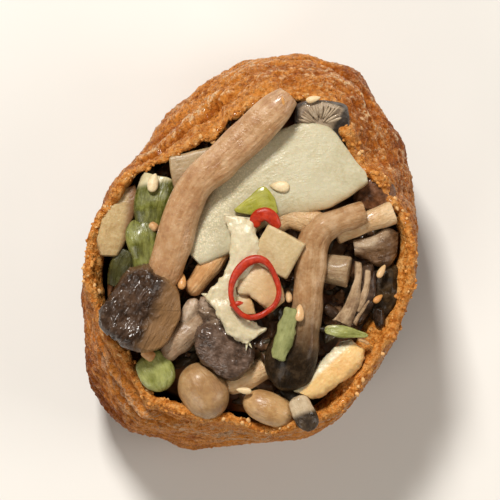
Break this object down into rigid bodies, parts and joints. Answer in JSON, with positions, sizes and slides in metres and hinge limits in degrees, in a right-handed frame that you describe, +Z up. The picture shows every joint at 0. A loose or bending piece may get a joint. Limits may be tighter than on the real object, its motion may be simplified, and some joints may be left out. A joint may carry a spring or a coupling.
{
  "type": "inari sushi",
  "caption": "Open-topped fried tofu pouch sushi, heaped with simmered mushrooms, bamboo shoot, leek, red chilli and sesame.",
  "frame": {"origin": "centre of the footprint's box, on the plane the pouch rests on", "axes": "+Z up through the open top, +Y towards the pouch's hooded, pointed back, which is the long way of the piece, +X to its right"},
  "size_m": [0.0624, 0.0733, 0.0438],
  "materials": {
    "fried_tofu": "matt, deep orange-brown fried skin, pimpled and wrinkled, moist with broth",
    "mixture": "moist dark brown simmered mixture in shadow",
    "pale_mushroom": "moist pale tan mushroom flesh with fine streaks along it",
    "brown_mushroom": "moist mid-brown mushroom, darker towards its cap",
    "dark_mushroom": "moist wrinkled dark grey-brown mushroom cap",
    "bamboo": "moist cream bamboo shoot with fine fibres",
    "leek": "moist yellow-green leek with fine veins",
    "chilli": "glossy red chilli flesh"
  },
  "bodies": {
    "root": {"pouch": "fried_tofu", "filling": "mixture", "chilli_ring": "chilli", "long_mushroom": "pale_mushroom", "stem_front": "pale_mushroom", "stem_right": "pale_mushroom", "stem_stub": "pale_mushroom", "gill_slice_back": "pale_mushroom", "gill_slice_side": "pale_mushroom", "bent_mushroom": "brown_mushroom", "small_mushroom": "brown_mushroom", "thin_stem": "brown_mushroom", "bean_cap_left": "brown_mushroom", "bean_cap_right": "brown_mushroom", "dark_cap_back": "dark_mushroom", "dark_cap_side": "dark_mushroom", "torn_cap": "dark_mushroom", "open_cap": "dark_mushroom", "cap_scrap": "dark_mushroom", "bamboo_slice": "bamboo", "bamboo_corner": "bamboo", "bamboo_side": "bamboo", "bamboo_square": "bamboo", "bamboo_tip": "bamboo", "bamboo_wedge": "bamboo", "leek_back": "leek", "leek_middle": "leek", "leek_low": "leek", "leek_front": "leek", "leek_leaf": "leek", "leek_strip": "leek"}
  },
  "joints": []
}
